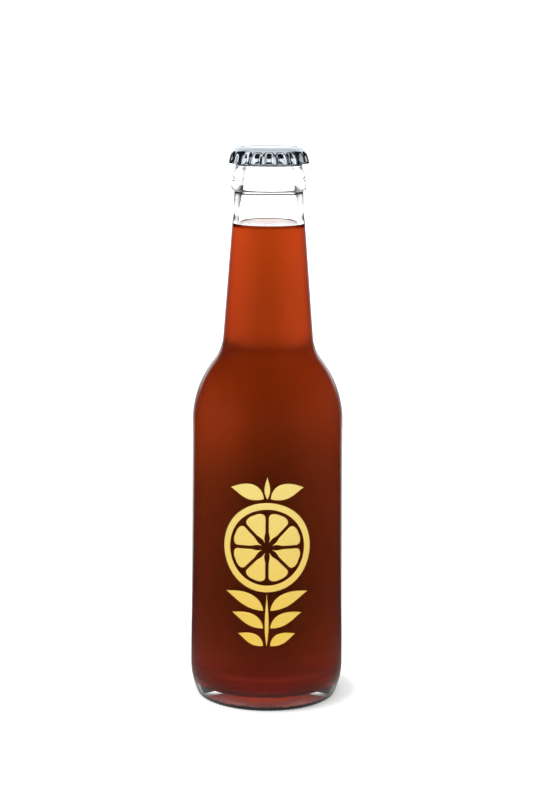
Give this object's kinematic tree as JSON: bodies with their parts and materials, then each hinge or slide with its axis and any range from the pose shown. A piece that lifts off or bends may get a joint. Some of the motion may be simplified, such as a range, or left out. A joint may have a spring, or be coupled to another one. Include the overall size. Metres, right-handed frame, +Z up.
{
  "type": "glass soda bottle",
  "caption": "Clear long-neck glass bottle filled with a red-brown soft drink, closed by a fluted steel crown cap that lifts off, with a gold citrus emblem printed on its side.",
  "frame": {"origin": "centre of the bearing ring that the bottle stands on", "axes": "+Z up along the bottle's axis, -Y out of the emblem, +X to the right as the emblem is faced"},
  "size_m": [0.0552, 0.0555, 0.1989],
  "materials": {
    "clear_glass": "clear flint glass, polished, with a stippled bearing ring",
    "drink": "clear red-brown liquid",
    "tinplate": "bright tinplate, lightly scuffed",
    "liner": "moulded sealing compound, off-white",
    "gold_print": "fired gold enamel, raised, satin"
  },
  "bodies": {
    "bottle": {"glass_bottle": "clear_glass", "drink": "drink", "print_rind": "gold_print", "print_segment_1": "gold_print", "print_segment_2": "gold_print", "print_segment_3": "gold_print", "print_segment_4": "gold_print", "print_segment_5": "gold_print", "print_segment_6": "gold_print", "print_segment_7": "gold_print", "print_segment_8": "gold_print", "print_stalk": "gold_print", "print_stem": "gold_print", "print_top_leaf_left": "gold_print", "print_top_leaf_right": "gold_print", "print_leaf_left_1": "gold_print", "print_leaf_left_2": "gold_print", "print_leaf_left_3": "gold_print", "print_leaf_right_1": "gold_print", "print_leaf_right_2": "gold_print", "print_leaf_right_3": "gold_print"},
    "crown_cap": {"crown_cap_shell": "tinplate", "cap_liner": "liner"}
  },
  "joints": [
    {"name": "cap_lift", "type": "slide", "parent": "bottle", "child": "crown_cap", "axis": [0, 0, 1], "range_m": [0, 0.03]}
  ]
}
